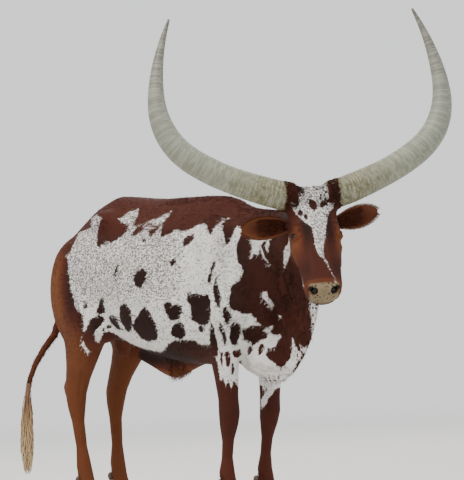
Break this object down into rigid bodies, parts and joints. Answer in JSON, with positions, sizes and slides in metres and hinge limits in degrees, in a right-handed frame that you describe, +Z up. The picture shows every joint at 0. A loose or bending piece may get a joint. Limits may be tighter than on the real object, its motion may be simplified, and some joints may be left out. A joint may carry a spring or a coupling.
{
  "type": "ankole watusi bull model",
  "caption": "Life-size still model of a long-horned Ankole-Watusi bull, standing with its head turned to its right.",
  "frame": {"origin": "on the floor, below the centre of the whole animal's box", "axes": "+X to where the body faces, +Y to the animal's left, +Z up"},
  "size_m": [2.2352, 1.0968, 2.1585],
  "materials": {
    "coat": "short smooth hair, red-brown patches on a speckled white ground",
    "horn": "dull ringed keratin, grey-beige with darker worn tips",
    "claw": "dull dark brown hoof keratin with faint growth lines",
    "eye": "wet dark brown eye",
    "hair": "long wavy blonde and brown tail hair"
  },
  "bodies": {
    "root": {"claw_foreleg_left_inner": "claw", "claw_foreleg_left_outer": "claw", "claw_foreleg_right_inner": "claw", "claw_foreleg_right_outer": "claw", "claw_hindleg_left_inner": "claw", "claw_hindleg_left_outer": "claw", "claw_hindleg_right_inner": "claw", "claw_hindleg_right_outer": "claw", "dewclaw_foreleg_left_inner": "claw", "dewclaw_foreleg_left_outer": "claw", "dewclaw_foreleg_right_inner": "claw", "dewclaw_foreleg_right_outer": "claw", "dewclaw_hindleg_left_inner": "claw", "dewclaw_hindleg_left_outer": "claw", "dewclaw_hindleg_right_inner": "claw", "dewclaw_hindleg_right_outer": "claw", "ear_left": "coat", "ear_right": "coat", "eye_left": "eye", "eye_right": "eye", "head": "coat", "horn_left": "horn", "horn_right": "horn", "lower_foreleg_left": "coat", "lower_foreleg_right": "coat", "lower_hindleg_left": "coat", "lower_hindleg_right": "coat", "neck": "coat", "purse": "coat", "sheath": "coat", "tail_middle": "coat", "tail_root": "coat", "tail_switch": "hair", "torso": "coat", "upper_foreleg_left": "coat", "upper_foreleg_right": "coat", "upper_hindleg_left": "coat", "upper_hindleg_right": "coat"}
  },
  "joints": []
}
